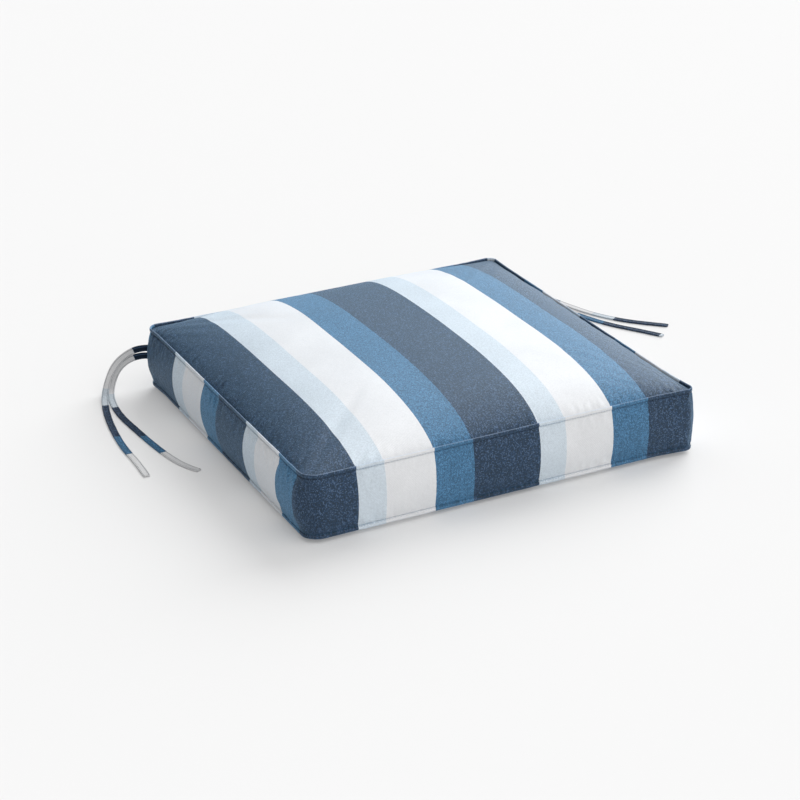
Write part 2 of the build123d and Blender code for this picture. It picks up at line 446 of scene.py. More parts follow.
def nylonMaterial():
    material, nodes, shader = newMaterial("zipNylon")
    place = objectPlace(nodes)
    patchy = nodes.noise(place, 300.0, 3.0)
    colour = nodes.ramp(patchy, [(0.3, zipLook["nylonDark"]), (0.7, zipLook["nylonLight"])])
    nodes.link(colour, shader.inputs["Base Color"])
    gloss = nodes.math("ADD", nodes.math("MULTIPLY", patchy, 0.2), 0.28)
    nodes.link(gloss, shader.inputs["Roughness"])
    return material


def zipMetalMaterial():
    material, nodes, shader = newMaterial("zipMetal")
    place = objectPlace(nodes)
    scuffs = nodes.noise(place, 420.0, 4.0, 0.7)
    bare = nodes.ramp(scuffs, [(0.60, (0.0, 0.0, 0.0)), (0.66, (1.0, 1.0, 1.0))])
    colour = nodes.mix("MIX", bare, zipLook["paint"], zipLook["bareMetal"])
    nodes.link(colour, shader.inputs["Base Color"])
    nodes.link(bare, shader.inputs["Metallic"])
    grain = nodes.math("ADD", nodes.math("MULTIPLY", scuffs, 0.3), 0.22)
    nodes.link(grain, shader.inputs["Roughness"])
    bumpInto(nodes, shader, scuffs, 0.00004)
    return material


def fillingMaterial(name, light, dark, scale, distance):
    material, nodes, shader = newMaterial(name)
    place = objectPlace(nodes)
    cells = nodes.noise(place, scale, 3.0, 0.65)
    nodes.link(nodes.ramp(cells, [(0.35, dark), (0.65, light)]), shader.inputs["Base Color"])
    bumpInto(nodes, shader, cells, distance)
    shader.inputs["Roughness"].default_value = 1.0
    return material


thread = threadMaterial()
tapeCloth = zipTapeMaterial()
nylon = nylonMaterial()
zipMetal = zipMetalMaterial()
foamMaterial = fillingMaterial("cutFoam", (0.90, 0.86, 0.70), (0.74, 0.68, 0.50), 900.0, 0.0004)
waddingMaterial = fillingMaterial("fibreWadding", (0.93, 0.93, 0.92), (0.80, 0.80, 0.80), 350.0, 0.0008)
print("materials made")

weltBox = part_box("top_welt")
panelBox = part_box("top_panel")
panelHalf = panelBox[1].x
padHalf = weltBox[1].x  # welt's outer edge
topEdge = weltBox[1].z
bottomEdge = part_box("bottom_welt")[0].z
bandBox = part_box("boxing_band")
wallMiddle = (bandBox[0].z + bandBox[1].z) / 2
wallHalf = (bandBox[1].z - bandBox[0].z) / 2

pad = {
    "cells": 96,  # along each side
    "edgeCrowding": 0.25,  # closer rows near the seams
    # corner radii along the seam, by left or right and front or back
    "cornerRadii": {(-1, -1): 0.020, (1, -1): 0.009, (1, 1): 0.012, (-1, 1): 0.014},
    "lowRadius": 0.013,  # smallest corner radius at the bottom seam
    "leastRadius": 0.003,
    "seamInset": 0.0012,  # the wall starts this far inside the welt's outer edge
    # how far each corner is pulled outwards at the top seam
    "ears": {(-1, -1): 0.0, (1, -1): 0.0048, (1, 1): 0.002, (-1, 1): 0.0028},
    "lowEars": 0.5,  # how much further it is pulled at the bottom seam, as a share
    "earReach": 0.028,
    "seamBand": 0.004,  # height at each seam over which a corner keeps its shape
    "bulge": {"left": 0.0066, "front": 0.0036, "right": 0.0055, "back": 0.0080},
    "cornerSlack": 0.55,  # how much less the wall swells at a corner
    "topHeavy": 0.08,  # the swell sits above the middle
    "crownPower": 3.7,  # a higher power makes the crown squarer
    "crownEdge": 0.68,  # a lower one makes it leave the seam more steeply
    "dishPower": 9.0,  # the same for the underside
    "dishEdge": 0.7,
    "restingBelow": 0.0006,  # the underside is held flat under this height
    "zipHold": (0.225, 0.2),  # the back wall is held still near the zip: half width, from this far back
    "clothThickness": 0.001,
    "seamColumns": 3,  # the back corner seams lie this many grid columns past the corners
    "windowHalf": 0.0040,  # half height of the slot over the zip
    "windowReach": 0.2085,
}
# heights of the wall's rows above and below its middle
wallRows = [0.0, 0.004, 0.009, 0.014, 0.019, 0.024, 0.0295, 0.0340]
simulation = {
    "startCrown": 0.93,  # the crown starts this low and the pressure lifts it
    "pressure": 4.0,
    "frames": 20,
    "cap": 0.006,  # the furthest that a point may move
    "share": 0.6,  # how much of the move is kept
    "quality": 6,
    "mass": 0.3,
    "stretch": 25,
    "shear": 10,
    "bend": 1.0,
}


def lowness(z):
    # 0 at the top seam, 1 at the bottom seam
    band = pad["seamBand"]
    return min(max((topEdge - band - z) / (topEdge - bottomEdge - 2 * band), 0.0), 1.0)


def cornerOf(x, y):
    return 1 if x > 0 else -1, 1 if y > 0 else -1


def cornerRadius(x, y, half, z):
    high = pad["cornerRadii"][cornerOf(x, y)]
    low = max(high, pad["lowRadius"])
    radius = high + (low - high) * lowness(z) ** 2
    return max(radius - (padHalf - half), pad["leastRadius"])


def roundCorner(x, y, half, z):
    radius = cornerRadius(x, y, half, z)
    pastX = abs(x) - (half - radius)
    pastY = abs(y) - (half - radius)
    if pastX <= 0 or pastY <= 0:
        return x, y
    pull = max(pastX, pastY) / math.hypot(pastX, pastY)
    newX = half - radius + pastX * pull
    newY = half - radius + pastY * pull
    return math.copysign(newX, x), math.copysign(newY, y)


def earAt(x, y, z):
    # the sharper corners are pulled outwards a little
    fromCorner = math.hypot(padHalf - abs(x), padHalf - abs(y))
    out = pad["ears"][cornerOf(x, y)] * math.exp(-(fromCorner / pad["earReach"]) ** 2) * math.sqrt(0.5)
    out *= 1 + pad["lowEars"] * lowness(z)
    return math.copysign(out, x), math.copysign(out, y)


def outwardAt(x, y, half, z):
    radius = cornerRadius(x, y, half, z)
    pastX = max(abs(x) - (half - radius), 0.0)
    pastY = max(abs(y) - (half - radius), 0.0)
    reach = math.hypot(pastX, pastY)
    return math.copysign(pastX, x) / reach, math.copysign(pastY, y) / reach


def gridShares():
    # from -1 to 1, closer together near the seams
    cells, k = pad["cells"], pad["edgeCrowding"]
    evenly = [-1 + 2 * i / cells for i in range(cells + 1)]
    return [share * (1 + k) - k * share ** 3 for share in evenly]


shares = gridShares()


def edgeLoop():
    # grid indices round the pad, from the left back corner forward along the left side
    last = pad["cells"]
    loop = [(0, j) for j in range(last, 0, -1)]
    loop += [(i, 0) for i in range(0, last)]
    loop += [(last, j) for j in range(0, last)]
    loop += [(i, last) for i in range(last, 0, -1)]
    return loop


loop = edgeLoop()
backLoopStart = 3 * pad["cells"]
seamLimit = shares[pad["cells"] - pad["seamColumns"]] * padHalf


def sideShare(nx, ny):
    bulge = pad["bulge"]
    sideways = bulge["right"] if nx > 0 else bulge["left"]
    lengthways = bulge["back"] if ny > 0 else bulge["front"]
    corner = 1 - pad["cornerSlack"] * 2 * abs(nx * ny)
    return (sideways * nx * nx + lengthways * ny * ny + pad["seamInset"]) * corner


def wallPoint(i, j, z):
    # a point of the wall's outer surface beside grid edge (i, j)
    x, y = roundCorner(shares[i] * padHalf, shares[j] * padHalf, padHalf, z)
    nx, ny = outwardAt(x, y, padHalf, z)
    up = (z - wallMiddle) / wallHalf
    lean = pad["topHeavy"] * (1 - max(ny, 0.0))
    swell = max(1 - up * up, 0.0) * (1 + lean * up)
    out = -pad["seamInset"] + sideShare(nx, ny) * swell
    earX, earY = earAt(x, y, z)
    return x + nx * out + earX, y + ny * out + earY, z


def bandAcross(gx, gy):
    # place across the stripes round the band, which meets the top's stripes on the front wall
    if gy > padHalf - tiny:
        return math.copysign(4 * padHalf - abs(gx), gx)
    if gy < tiny - padHalf:
        return gx
    return math.copysign(2 * padHalf, gx) + math.copysign(gy, gx * gy)


def crownShare(u, v, power, edge):
    # 0 along the seams, 1 in the middle
    return ((1 - abs(u) ** power) * (1 - abs(v) ** power)) ** edge


def addPanel(net, kind):
    # grid of the top or the underside, and the number of its first point
    cells = pad["cells"]
    start = len(net["points"])
    base = panelBox[0].z
    rise = (panelBox[1].z - base) * simulation["startCrown"]
    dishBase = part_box("bottom_panel")[1].z
    level = topEdge if kind == "top" else bottomEdge
    for j, v in enumerate(shares):
        for i, u in enumerate(shares):
            x, y = roundCorner(u * panelHalf, v * panelHalf, panelHalf, level)
            if kind == "top":
                z = base + rise * crownShare(u, v, pad["crownPower"], pad["crownEdge"])
            else:
                z = dishBase * (1 - crownShare(u, v, pad["dishPower"], pad["dishEdge"]))
            earX, earY = earAt(x, y, level)
            edge = i in (0, cells) or j in (0, cells)
            resting = kind == "bottom" and z < pad["restingBelow"]
            net["points"].append((x + earX, y + earY, z))
            net["places"].append((x + earX, y + earY))
            net["held"].append(1.0 if edge or resting else 0.0)
    for j in range(cells):
        for i in range(cells):
            a = start + j * (cells + 1) + i
            quad = (a, a + 1, a + cells + 2, a + cells + 1)
            net["faces"].append(quad if kind == "top" else quad[::-1])
            net["parts"].append(kind)
    return start


def addWall(net, rows):
    # rows of points round the pad, from the top seam down
    start = len(net["points"])
    count = len(loop)
    holdWide, holdBack = pad["zipHold"]
    for row, z in enumerate(rows):
        seam = row in (0, len(rows) - 1)
        for i, j in loop:
            x, y, height = wallPoint(i, j, z)
            zipped = y > holdBack and abs(x) < holdWide
            net["points"].append((x, y, height))
            net["places"].append((bandAcross(shares[i] * padHalf, shares[j] * padHalf), z))
            net["held"].append(1.0 if seam or zipped else 0.0)
    for row in range(len(rows) - 1):
        for index in range(count):
            a = start + row * count + index
            b = start + row * count + (index + 1) % count
            behind = backLoopStart + pad["seamColumns"] <= index < count - pad["seamColumns"]
            net["faces"].append((a, a + count, b + count, b))
            net["parts"].append("back" if behind else "wall")
    return start


def addSeams(net, topStart, bottomStart, wallStart, lastRow):
    # strips under the welts join the panels to the wall
    across = pad["cells"] + 1
    for index, (i, j) in enumerate(loop):
        after = (index + 1) % len(loop)
        k, m = loop[after]
        here, there = j * across + i, m * across + k
        net["faces"].append((topStart + here, wallStart + index, wallStart + after, topStart + there))
        net["faces"].append((lastRow + index, bottomStart + here, bottomStart + there, lastRow + after))
        net["parts"] += ["seam", "seam"]


def buildForm():
    # closed form, how firmly each point is held, and which part each face is
    net = {"points": [], "places": [], "held": [], "faces": [], "parts": []}
    topStart = addPanel(net, "top")
    bottomStart = addPanel(net, "bottom")
    rows = [wallMiddle + r for r in reversed(wallRows)] + [wallMiddle - r for r in wallRows[1:]]
    wallStart = addWall(net, rows)
    addSeams(net, topStart, bottomStart, wallStart, wallStart + (len(rows) - 1) * len(loop))
    mesh = clothMesh("padForm", net["points"], net["faces"], net["places"])
    return addObject("padForm", mesh), net["held"], net["parts"]


def inflate(form, held):
    # air pressure swells the cloth between its held seams
    group = form.vertex_groups.new(name="held")
    for index, weight in enumerate(held):
        if weight > 0:
            group.add([index], weight, "REPLACE")
    before = [v.co.copy() for v in form.data.vertices]
    modifier = form.modifiers.new("cloth", "CLOTH")
    settings = modifier.settings
    settings.quality = simulation["quality"]
    settings.mass = simulation["mass"]
    settings.tension_stiffness = simulation["stretch"]
    settings.compression_stiffness = simulation["stretch"]
    settings.shear_stiffness = simulation["shear"]
    settings.bending_stiffness = simulation["bend"]
    settings.use_pressure = True
    settings.uniform_pressure_force = simulation["pressure"]
    settings.vertex_group_mass = "held"
    settings.effector_weights.gravity = 0.0
    modifier.collision_settings.use_collision = False
    modifier.point_cache.frame_start = 1
    modifier.point_cache.frame_end = simulation["frames"]
    for number in range(1, simulation["frames"] + 1):
        scene.frame_set(number)
    graph = bpy.context.evaluated_depsgraph_get()
    swollen = form.evaluated_get(graph).to_mesh()
    largest = 0.0
    for vertex, old, new in zip(form.data.vertices, before, swollen.vertices):
        move = new.co - old
        largest = max(largest, move.length)
        if move.length > simulation["cap"]:
            move = move.normalized() * simulation["cap"]
        vertex.co = old + move * simulation["share"]
        vertex.co.z = max(vertex.co.z, 0.0)
    form.modifiers.clear()
    scene.frame_set(1)
    print("pad inflated, furthest move", round(largest / mm, 1), "mm")


form, held, formParts = buildForm()
inflate(form, held)
form.data.update()
print("pad form:", len(form.data.vertices), "points")


def takePart(name, keep):
    # the faces of the form that keep() wants, as a new object
    copied = form.data.copy()
    shell = bmesh.new()
    shell.from_mesh(copied)
    shell.faces.ensure_lookup_table()
    unwanted = [f for f in shell.faces if not keep(formParts[f.index], f.calc_center_median())]
    bmesh.ops.delete(shell, geom=unwanted, context="FACES")
    shell.to_mesh(copied)
    shell.free()
    copied.name = name
    return addObject(name, copied)


puckers = {
    "depth": 0.0032,
    "onTop": 0.6,  # share of that depth on the top panel
    "onWalls": 1.1,
    "reach": 0.011,  # how far from the seam they fade
    "seamReach": 0.0015,  # how far from the seam they start
    "spacing": 0.0058,
    "stretch": 0.35,  # how slowly a pucker changes away from the seam
    "gatherSize": 0.09,  # they come and go over this length
    "gather": 0.45,  # and reach this share of their depth on average
    "slowDepth": 0.0010,  # broad unevenness of the filling
    "slowSize": 0.07,
    "slowFade": 0.02,
}


def aroundPad(co):
    # runs round the pad, only used to place the puckers
    return math.atan2(co.y, co.x) * 0.3 + (co.x - co.y) * 0.7


def pucker(thing, seamDistance, strength):
    c = puckers
    moves = []
    for vertex in thing.data.vertices:
        co = vertex.co
        away = max(seamDistance(co), 0.0)
        fine = noise.noise(Vector((aroundPad(co) / c["spacing"], c["stretch"] * away / c["spacing"], 3.1)))
        coming = noise.noise(Vector((aroundPad(co) / c["gatherSize"], 7.7, 0.0)))
        gather = c["gather"] + (1 - c["gather"]) * coming
        near = math.exp(-away / c["reach"]) * (1 - math.exp(-away / c["seamReach"]))
        slow = noise.noise(co / c["slowSize"]) * c["slowDepth"]
        fade = 1 - math.exp(-away / c["slowFade"])
        moves.append(strength * (2.0 * c["depth"] * fine * gather * near + slow * fade))
    normals = [v.normal.copy() for v in thing.data.vertices]
    for vertex, normal, move in zip(thing.data.vertices, normals, moves):
        vertex.co += normal * move


def finishCloth(thing, node):
    thing.data.materials.clear()
    thing.data.materials.append(clothMaterial)
    thicken(thing, pad["clothThickness"])
    applyModifiers(thing)
    for polygon in thing.data.polygons:
        polygon.use_smooth = True
    standFor(thing, node)


def panelSeamDistance(co):
    return panelHalf - max(abs(co.x), abs(co.y))


def wallSeamDistance(co):
    return wallRows[-1] - abs(co.z - wallMiddle)


def makeCover(name, part, node, seamDistance=None, strength=0.0):
    piece = takePart(name, lambda mine, at: mine == part)
    if seamDistance:
        subdivide(piece, 1)
        applyModifiers(piece)
        pucker(piece, seamDistance, strength)
    finishCloth(piece, node)


def makeRearHalf(name, side, node):
    # upper or lower half of the back wall, open over the zip

    def wanted(part, at):
        inWindow = abs(at.x) < pad["windowReach"] and abs(at.z - wallMiddle) < pad["windowHalf"]
        mine = (at.z - wallMiddle) * side > 0
        return part == "back" and mine and not inWindow

    half = takePart(name, wanted)
    rear = half.data.attributes["clothPlace"].data
    for item, vertex in zip(rear, half.data.vertices):
        item.vector.x = vertex.co.x
    finishCloth(half, node)


makeCover("topPanel", "top", "top_panel", panelSeamDistance, puckers["onTop"])
makeCover("bottomPanel", "bottom", "bottom_panel")
makeCover("boxingBand", "wall", "boxing_band", wallSeamDistance, puckers["onWalls"])
makeRearHalf("zipBandUpper", 1, "zip_band_upper")
makeRearHalf("zipBandLower", -1, "zip_band_lower")
print("cover panels made")

filling = {
    "inset": 0.0026,  # inside the cloth's outer surface
    "floorGap": 0.0014,  # above the floor
    "layerGap": 0.0001,  # between foam and wadding
    "beyond": 1.0,  # a height past the pad, where nothing is cut
}


def makeFilling():
    shell = bmesh.new()
    shell.from_mesh(form.data)
    shell.normal_update()
    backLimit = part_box("foam_core")[1].y
    for vertex in shell.verts:
        vertex.co -= vertex.normal * filling["inset"]
        vertex.co.z = max(vertex.co.z, filling["floorGap"])
        vertex.co.y = min(vertex.co.y, backLimit)
    foamLow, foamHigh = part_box("foam_core")[0].z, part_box("foam_core")[1].z
    gap, beyond = filling["layerGap"], filling["beyond"]
    layers = (
        ("foamBlock", foamLow, foamHigh, "foam_core", foamMaterial, "foam"),
        ("waddingTop", foamHigh + gap, beyond, "wadding_top", waddingMaterial, "wadding"),
        ("waddingBottom", -beyond, foamLow - gap, "wadding_bottom", waddingMaterial, "wadding"),
    )
    for name, low, high, node, material, slotName in layers:
        layer = shell.copy()
        for height, side in ((low, 1), (high, -1)):
            geometry = layer.verts[:] + layer.edges[:] + layer.faces[:]
            cut = bmesh.ops.bisect_plane(
                layer, geom=geometry, plane_co=(0, 0, height), plane_no=(0, 0, side), clear_inner=True)
            rim = [e for e in cut["geom_cut"] if isinstance(e, bmesh.types.BMEdge)]
            if rim:
                bmesh.ops.holes_fill(layer, edges=rim)
        bmesh.ops.recalc_face_normals(layer, faces=layer.faces)
        mesh = bpy.data.meshes.new(name)
        layer.to_mesh(mesh)
        layer.free()
        if "clothPlace" in mesh.attributes:
            mesh.attributes.remove(mesh.attributes["clothPlace"])
        mesh.materials.append(material)
        piece = addObject(name, mesh)
        standFor(piece, node)
    shell.free()


makeFilling()
bpy.data.objects.remove(form)
print("filling made")


def newTree(name, inputs):
    tree = bpy.data.node_groups.new(name, "GeometryNodeTree")
    tree.interface.new_socket("Geometry", in_out="INPUT", socket_type="NodeSocketGeometry")
    tree.interface.new_socket("Geometry", in_out="OUTPUT", socket_type="NodeSocketGeometry")
    sockets = {}
    for label, kind, value in inputs:
        socket = tree.interface.new_socket(label, in_out="INPUT", socket_type=kind)
        if value is not None:
            socket.default_value = value
        sockets[label] = socket.identifier
    nodes = Nodes(tree)
    return tree, nodes, nodes.add("NodeGroupInput"), nodes.add("NodeGroupOutput"), sockets


def runTree(thing, tree, sockets, values):
    modifier = thing.modifiers.new("nodes", "NODES")
    modifier.node_group = tree
    for label, value in values.items():
        modifier[sockets[label]] = value
    plain = plainMesh(thing)
    name = thing.name
    bpy.data.objects.remove(thing)
    plain.name = name
    return addObject(name, plain)


def roundBead(nodes, segments, rings):
    ball = nodes.add("GeometryNodeMeshUVSphere")
    setInputs(ball, {"Segments": segments, "Rings": rings, "Radius": 0.5})
    return ball.outputs["Mesh"]


def copyOnto(nodes, points, shape, size, material, result, turn=None):
    # one copy of the shape on each point, made real and given its material
    place = nodes.add("GeometryNodeInstanceOnPoints")
    nodes.link(points, place.inputs["Points"])
    nodes.link(shape, place.inputs["Instance"])
    nodes.link(size, place.inputs["Scale"])
    if turn is not None:
        nodes.link(turn, place.inputs["Rotation"])
    real = nodes.add("GeometryNodeRealizeInstances")
    nodes.link(place.outputs[0], real.inputs[0])
    paint = nodes.add("GeometryNodeSetMaterial")
    nodes.link(real.outputs[0], paint.inputs["Geometry"])
    nodes.link(material, paint.inputs["Material"])
    nodes.link(paint.outputs[0], result.inputs[0])


def lineObject(name, runs):
    # one open poly line for each run of points
    curve = bpy.data.curves.new(name, "CURVE")
    curve.dimensions = "3D"
    for run in runs:
        spline = curve.splines.new("POLY")
        spline.points.add(len(run) - 1)
        for point, co in zip(spline.points, run):
            point.co = (*co, 1.0)
    return addObject(name, curve)


welt = {
    "liftNoise": 0.00030,  # the ridge's line is never quite true
    "leanNoise": 0.00025,
    "rippleSize": 0.03,
    "leanSize": 0.02,
    "quickSize": 0.008,
    # outline from the ridge's tip: outwards, down
    "outline": [
        (-0.9, 0.0), (-0.35, -0.2), (0.0, -0.8), (0.2, -1.9), (0.15, -3.1), (-0.15, -4.0), (-0.6, -4.6),
        (-1.6, -4.8), (-2.3, -4.2), (-2.4, -2.7), (-2.1, -1.3), (-1.5, -0.3)],
}


def seamPoint(gx, gy, z):
    x, y = roundCorner(gx, gy, padHalf, z)
    nx, ny = outwardAt(x, y, padHalf, z)
    earX, earY = earAt(x, y, z)
    return x + earX, y + earY, nx, ny


def weltRing(z, fine=2):
    # points round the whole seam line, with their outward direction and place across the stripes
    ring = []
    for index in range(len(loop)):
        i, j = loop[index]
        k, m = loop[(index + 1) % len(loop)]
        for step in range(fine):
            t = step / fine
            gx = (shares[i] * (1 - t) + shares[k] * t) * padHalf
            gy = (shares[j] * (1 - t) + shares[m] * t) * padHalf
            ring.append((*seamPoint(gx, gy, z), bandAcross(gx, gy), gx, gy))
    return ring


def weltRuns(z):
    # one run round left, front and right, one along the back between the corner seams
    ring = weltRing(z)
    around = [p for p in ring if p[6] <= padHalf - tiny]
    rear = sorted((p for p in ring if p[6] > padHalf - tiny), key=lambda p: p[5])
    leftPast = [p for p in reversed(rear) if p[5] < tiny - seamLimit][:-1]
    rightPast = [p for p in reversed(rear) if p[5] > seamLimit - tiny]
    back = [p for p in rear if abs(p[5]) < seamLimit + tiny]
    # along the back the stripes are placed as on the top
    return [[p[:5] for p in leftPast + around + rightPast], [(*p[:4], p[5]) for p in back]]


def makeWelt(name, node, tipZ, down, seed):
    outline = [(a * mm, b * mm) for a, b in welt["outline"]]
    points = []
    places = []
    faces = []

    def uneven(x, y, size, shift):
        return noise.noise(Vector((x / welt[size], y / welt[size], seed + shift)))

    for run in weltRuns(tipZ):
        start = len(points)
        for x, y, nx, ny, across in run:
            quick = uneven(x, y, "quickSize", 5)
            lift = welt["liftNoise"] * (uneven(x, y, "rippleSize", 0) + 0.6 * quick)
            lean = welt["leanNoise"] * (uneven(x, y, "leanSize", 9) + 0.5 * quick)
            for a, b in outline:
                share = 1 + b / (6 * mm)  # the foot of the ridge moves less than its tip
                out = a + lean * share
                # the ridge's crest gets the painted highlight
                crestLit = 1.0 if b > -0.5 * mm else 0.0
                points.append((x + nx * out, y + ny * out, tipZ + down * (b + lift * share)))
                places.append((across, tipZ + down * b + (a + 2 * mm), crestLit))
        faces += tubeFaces(start, len(run), len(outline))
    mesh = clothMesh(name, points, faces, places)
    mesh.materials.append(clothMaterial)
    standFor(addObject(name, mesh), node)


makeWelt("topWelt", "top_welt", topEdge, 1, 1.0)
makeWelt("bottomWelt", "bottom_welt", bottomEdge, -1, 20.0)
print("welts made")

stitches = {
    "spacing": 0.0034,
    "length": 0.0021,
    "thickness": 0.00045,
    "down": 0.0043,  # below the ridge's tip
    "out": 0.00025,
    "fromZip": 0.0095,  # rows beside the zip, from the middle of the teeth
}


def stitchTree():
    tree, nodes, given, result, sockets = newTree("stitchRow", [
        ("Spacing", "NodeSocketFloat", stitches["spacing"]), ("Stitch", "NodeSocketVector", None),
        ("Thread", "NodeSocketMaterial", None)])
    evenly = nodes.add("GeometryNodeResampleCurve", mode="LENGTH")
    nodes.link(given.outputs["Geometry"], evenly.inputs["Curve"])
    nodes.link(given.outputs["Spacing"], evenly.inputs["Length"])
    tangent = nodes.add("GeometryNodeInputTangent")
    align = nodes.add("FunctionNodeAlignRotationToVector", axis="X")
    nodes.link(tangent.outputs[0], align.inputs["Vector"])
    copyOnto(nodes, evenly.outputs[0], roundBead(nodes, 6, 4), given.outputs["Stitch"],
             given.outputs["Thread"], result, align.outputs[0])
    return tree, sockets


def nearAcross(co):
    # place across the stripes beside a point of the wall; the back wall matches the top
    if abs(co.x) > abs(co.y):
        return math.copysign(2 * padHalf, co.x) + math.copysign(co.y, co.x * co.y)
    return co.x


def sewRows(name, runs):
    path = lineObject(name, runs)
    tree, sockets = stitchTree()
    size = (stitches["length"], stitches["thickness"], stitches["thickness"])
    sewn = runTree(path, tree, sockets, {"Spacing": stitches["spacing"], "Stitch": size, "Thread": thread})
    storePlace(sewn.data, [(nearAcross(v.co), v.co.z) for v in sewn.data.vertices])
    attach(sewn, "cover")
    return sewn


def seamRun(z):
    ring = weltRing(z, 1)
    return [(x + nx * stitches["out"], y + ny * stitches["out"], z) for x, y, nx, ny, *rest in ring]


def zipRun(side):
    z = wallMiddle + side * stitches["fromZip"]
    back = [(i, j) for i, j in loop[backLoopStart:] if abs(shares[i]) * padHalf < pad["windowReach"]]
    return [wallPoint(i, j, z) for i, j in back]


sewRows("topStitches", [seamRun(topEdge - stitches["down"])])
sewRows("bottomStitches", [seamRun(bottomEdge + stitches["down"])])
sewRows("zipStitches", [zipRun(1), zipRun(-1)])
print("stitches sewn")

teeth = {
    "pitch": 0.0016,
    "thickness": 0.0013,
}


def teethTree():
    tree, nodes, given, result, sockets = newTree("zipTeeth", [
        ("Count", "NodeSocketInt", 10), ("Start", "NodeSocketVector", None),
        ("Step", "NodeSocketVector", None), ("Tooth", "NodeSocketVector", None),
        ("Nylon", "NodeSocketMaterial", None)])
    line = nodes.add("GeometryNodeMeshLine", mode="OFFSET")
    nodes.link(given.outputs["Count"], line.inputs["Count"])
    nodes.link(given.outputs["Start"], line.inputs["Start Location"])
    nodes.link(given.outputs["Step"], line.inputs["Offset"])
    copyOnto(nodes, line.outputs[0], roundBead(nodes, 8, 6), given.outputs["Tooth"],
             given.outputs["Nylon"], result)
    return tree, sockets


def makeTeeth(name, node, shift):
    low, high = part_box(node)
    middle = (low + high) / 2
    count = int((high.x - low.x) / teeth["pitch"]) - 1
    start = (low.x + teeth["thickness"] / 2 + shift, middle.y, middle.z)
    size = (teeth["thickness"], high.y - low.y, high.z - low.z)
    tree, sockets = teethTree()
    carrier = addObject(name, meshFrom(name, [(0, 0, 0)], []))
    row = runTree(carrier, tree, sockets, {
        "Count": count, "Start": start, "Step": (teeth["pitch"], 0.0, 0.0), "Tooth": size, "Nylon": nylon})
    standFor(row, node)


makeTeeth("zipTeethUpper", "zip_teeth_upper", 0.0)
makeTeeth("zipTeethLower", "zip_teeth_lower", teeth["pitch"] / 2)


def paintNode(node, material):
    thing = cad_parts[node]
    thing.data.materials.clear()
    thing.data.materials.append(material)


for node in ("zip_tape_upper", "zip_tape_lower"):
    paintNode(node, tapeCloth)
for node in ("zip_slider", "zip_pull", "zip_bottom_stop", "zip_top_stop_upper", "zip_top_stop_lower"):
    paintNode(node, zipMetal)
print("zip made")

floorZ = 0.0013  # middle of a tape that lies flat
# flow is the way a tie sets off; stripes are the navy root's length, the place in the repeat after it
# and how fast the stripes pass
ties = {
    "tieLeftUpper": {
        "node": "tie_left_upper", "length": 0.33,
        "flow": (-0.92, 0.40, 0.0), "stripes": (0.027, 0.088, 0.895),
        "route": [
            (-0.2371, 0.2371, 0.053), (-0.254, 0.241, 0.056), (-0.273, 0.250, 0.046),
            (-0.290, 0.251, 0.030), (-0.302, 0.246, 0.006), (-0.312, 0.220, floorZ),
            (-0.323, 0.177, floorZ), (-0.331, 0.125, floorZ), (-0.3345, 0.080, floorZ),
            (-0.3335, 0.040, floorZ), (-0.336, 0.002, floorZ)]},
    "tieLeftLower": {
        "node": "tie_left_lower", "length": 0.335,
        "flow": (-0.92, 0.40, 0.0), "stripes": (0.026, 0.088, 0.876),
        "route": [
            (-0.2371, 0.2371, 0.042), (-0.251, 0.241, 0.0455), (-0.269, 0.2495, 0.039),
            (-0.284, 0.253, 0.026), (-0.294, 0.249, 0.004), (-0.303, 0.220, floorZ),
            (-0.308, 0.176, floorZ), (-0.3045, 0.124, floorZ), (-0.301, 0.080, floorZ),
            (-0.296, 0.040, floorZ), (-0.288, 0.005, floorZ), (-0.278, -0.013, floorZ)]},
    "tieRightUpper": {
        "node": "tie_right_upper", "length": 0.32,
        "flow": (0.75, 0.66, 0.0), "stripes": (0.0, 0.252, 1.0),
        "route": [
            (0.2371, 0.2371, 0.053), (0.250, 0.249, 0.055), (0.269, 0.264, 0.044), (0.287, 0.276, 0.024),
            (0.307, 0.281, 0.004), (0.331, 0.262, floorZ), (0.342, 0.222, floorZ),
            (0.356, 0.177, floorZ), (0.378, 0.139, floorZ), (0.400, 0.114, floorZ),
            (0.423, 0.092, floorZ)]},
    "tieRightLower": {
        "node": "tie_right_lower", "length": 0.305,
        "flow": (0.75, 0.66, 0.0), "stripes": (0.0, -0.307, -1.0),
        "route": [
            (0.2371, 0.2371, 0.042), (0.250, 0.247, 0.045), (0.266, 0.260, 0.037), (0.283, 0.269, 0.022),
            (0.304, 0.266, 0.004), (0.322, 0.244, floorZ), (0.332, 0.206, floorZ),
            (0.343, 0.168, floorZ), (0.360, 0.128, floorZ), (0.382, 0.095, floorZ),
            (0.399, 0.066, floorZ)]},
}
tape = {
    "width": 0.0095,
    # half outline of the folded tape: across, up
    "outline": [
        (-4.3, 0.0), (-4.1, 0.66), (-3.5, 1.08), (-2.7, 1.05), (-2.2, 0.66), (-1.2, 0.78), (0.0, 0.82),
        (1.2, 0.78), (2.2, 0.66), (2.7, 1.05), (3.5, 1.08), (4.1, 0.66), (4.3, 0.0)],
    "standFor": 0.035,  # a tape stands on edge for this length
    "flatBy": 0.10,  # and lies flat by this one
    "unevenWidth": 0.05,
    "unevenSize": 0.012,
    "endPinch": 0.86,
    "rootPlace": -0.02,  # the root's place in the navy stripe
    "underside": 0.020,  # keeps the painted groove shade off the underside
}


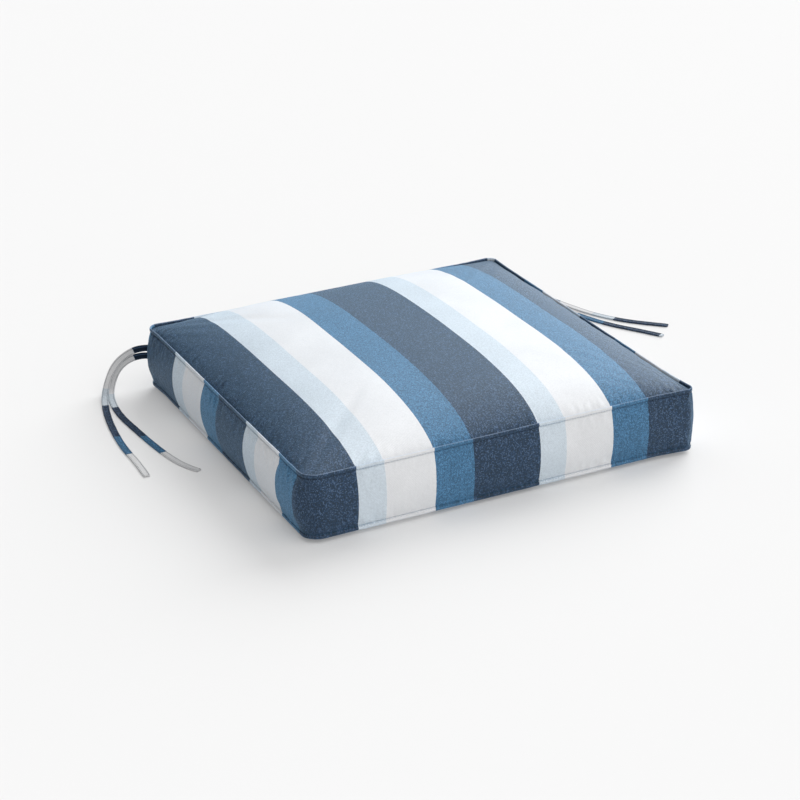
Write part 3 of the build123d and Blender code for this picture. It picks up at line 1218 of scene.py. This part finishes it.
def routeLine(name, route):
    curve = bpy.data.curves.new(name + "Route", "CURVE")
    curve.dimensions = "3D"
    curve.resolution_u = 14
    spline = curve.splines.new("NURBS")
    spline.points.add(len(route) - 1)
    for point, co in zip(spline.points, route):
        point.co = (*co, 1.0)
    spline.order_u = 3
    spline.use_endpoint_u = True
    carrier = addObject(name + "Route", curve)
    points = [v.co.copy() for v in plainMesh(carrier).vertices]
    bpy.data.objects.remove(carrier)
    return points


def smoothStep(value, low, high):
    t = min(max((value - low) / (high - low), 0.0), 1.0)
    return t * t * (3 - 2 * t)


def tieAcross(tie, distance):
    rootEnd, first, pace = tie["stripes"]
    if distance < rootEnd:
        return cloth["firstEdge"] + tape["rootPlace"]
    return cloth["firstEdge"] + first - pace * (distance - rootEnd)


def makeTie(name, tie):
    line = routeLine(name, tie["route"])
    travelled = [0.0]
    for a, b in zip(line, line[1:]):
        travelled.append(travelled[-1] + (b - a).length)
    onEdge = Vector(tie["flow"]).cross(Vector((0, 0, -1))).normalized()
    upper = [(a * mm, b * mm) for a, b in tape["outline"]]
    outline = upper + [(a, -b) for a, b in reversed(upper[1:-1])]
    points = []
    places = []
    last = len(line) - 1
    for index, (here, distance) in enumerate(zip(line, travelled)):
        ahead = (line[min(index + 1, last)] - line[max(index - 1, 0)]).normalized()
        face = onEdge.lerp(Vector((0, 0, 1)), smoothStep(distance, tape["standFor"], tape["flatBy"]))
        side = face.cross(ahead).normalized()
        face = ahead.cross(side).normalized()
        pinch = tape["endPinch"] if index in (0, last) else 1.0
        ripple = noise.noise(Vector((distance / tape["unevenSize"], len(name), 0.5)))
        wide = (1 + tape["unevenWidth"] * ripple) * pinch
        for a, b in outline:
            points.append(here + side * a * wide + face * b * pinch)
            places.append((tieAcross(tie, distance), a + (tape["underside"] if b < 0 else 0)))
    mesh = clothMesh(name, points, tubeFaces(0, len(line), len(outline)), places)
    mesh.materials.append(tieMaterial)
    strap = addObject(name, mesh)
    standFor(strap, tie["node"])
    print(name, "is", round(travelled[-1] / mm), "mm long")


for name, tie in ties.items():
    makeTie(name, tie)

studio = {
    "floorHalf": 30.0,
    "floorColour": (0.57, 0.57, 0.57),
    "floorGlow": 0.195,
    "skyStrength": 0.33,
    # strength, degrees round from the right towards the back, degrees up, degrees wide
    "overhead": (0.6, 30.0, 66.0, 90.0),
    "left": (0.2, 200.0, 45.0, 100.0),
    "behind": (3.0, 34.0, 29.0, 50.0),
    "front": (1.6, -64.0, 35.0, 90.0),
}


def makeFloor():
    size = studio["floorHalf"]
    corners = [(-size, -size, 0), (size, -size, 0), (size, size, 0), (-size, size, 0)]
    floor = addObject("floor", meshFrom("floor", corners, [(0, 1, 2, 3)], smooth=False))
    material, nodes, shader = newMaterial("paleFloor")
    setInputs(shader, {
        "Base Color": (*studio["floorColour"], 1.0), "Roughness": 0.9, "Specular IOR Level": 0.1,
        "Emission Color": (1.0, 1.0, 1.0, 1.0), "Emission Strength": studio["floorGlow"]})
    floor.data.materials.append(material)


def addSun(name, strength, around, up, wide):
    data = bpy.data.lights.new(name, "SUN")
    data.energy = strength
    data.angle = math.radians(wide)
    light = bpy.data.objects.new(name, data)
    away = directionOf(around, up)
    light.matrix_world = Matrix.Translation(away * 3) @ away.to_track_quat("Z", "Y").to_matrix().to_4x4()
    scene.collection.objects.link(light)


def makeSky():
    world = bpy.data.worlds.new("studio")
    world.use_nodes = True
    background = world.node_tree.nodes["Background"]
    background.inputs["Color"].default_value = (1.0, 1.0, 1.0, 1.0)
    background.inputs["Strength"].default_value = studio["skyStrength"]
    scene.world = world


makeFloor()
for sun in ("overhead", "left", "behind", "front"):
    addSun(sun, *studio[sun])
makeSky()
scene.view_settings.view_transform = "Standard"
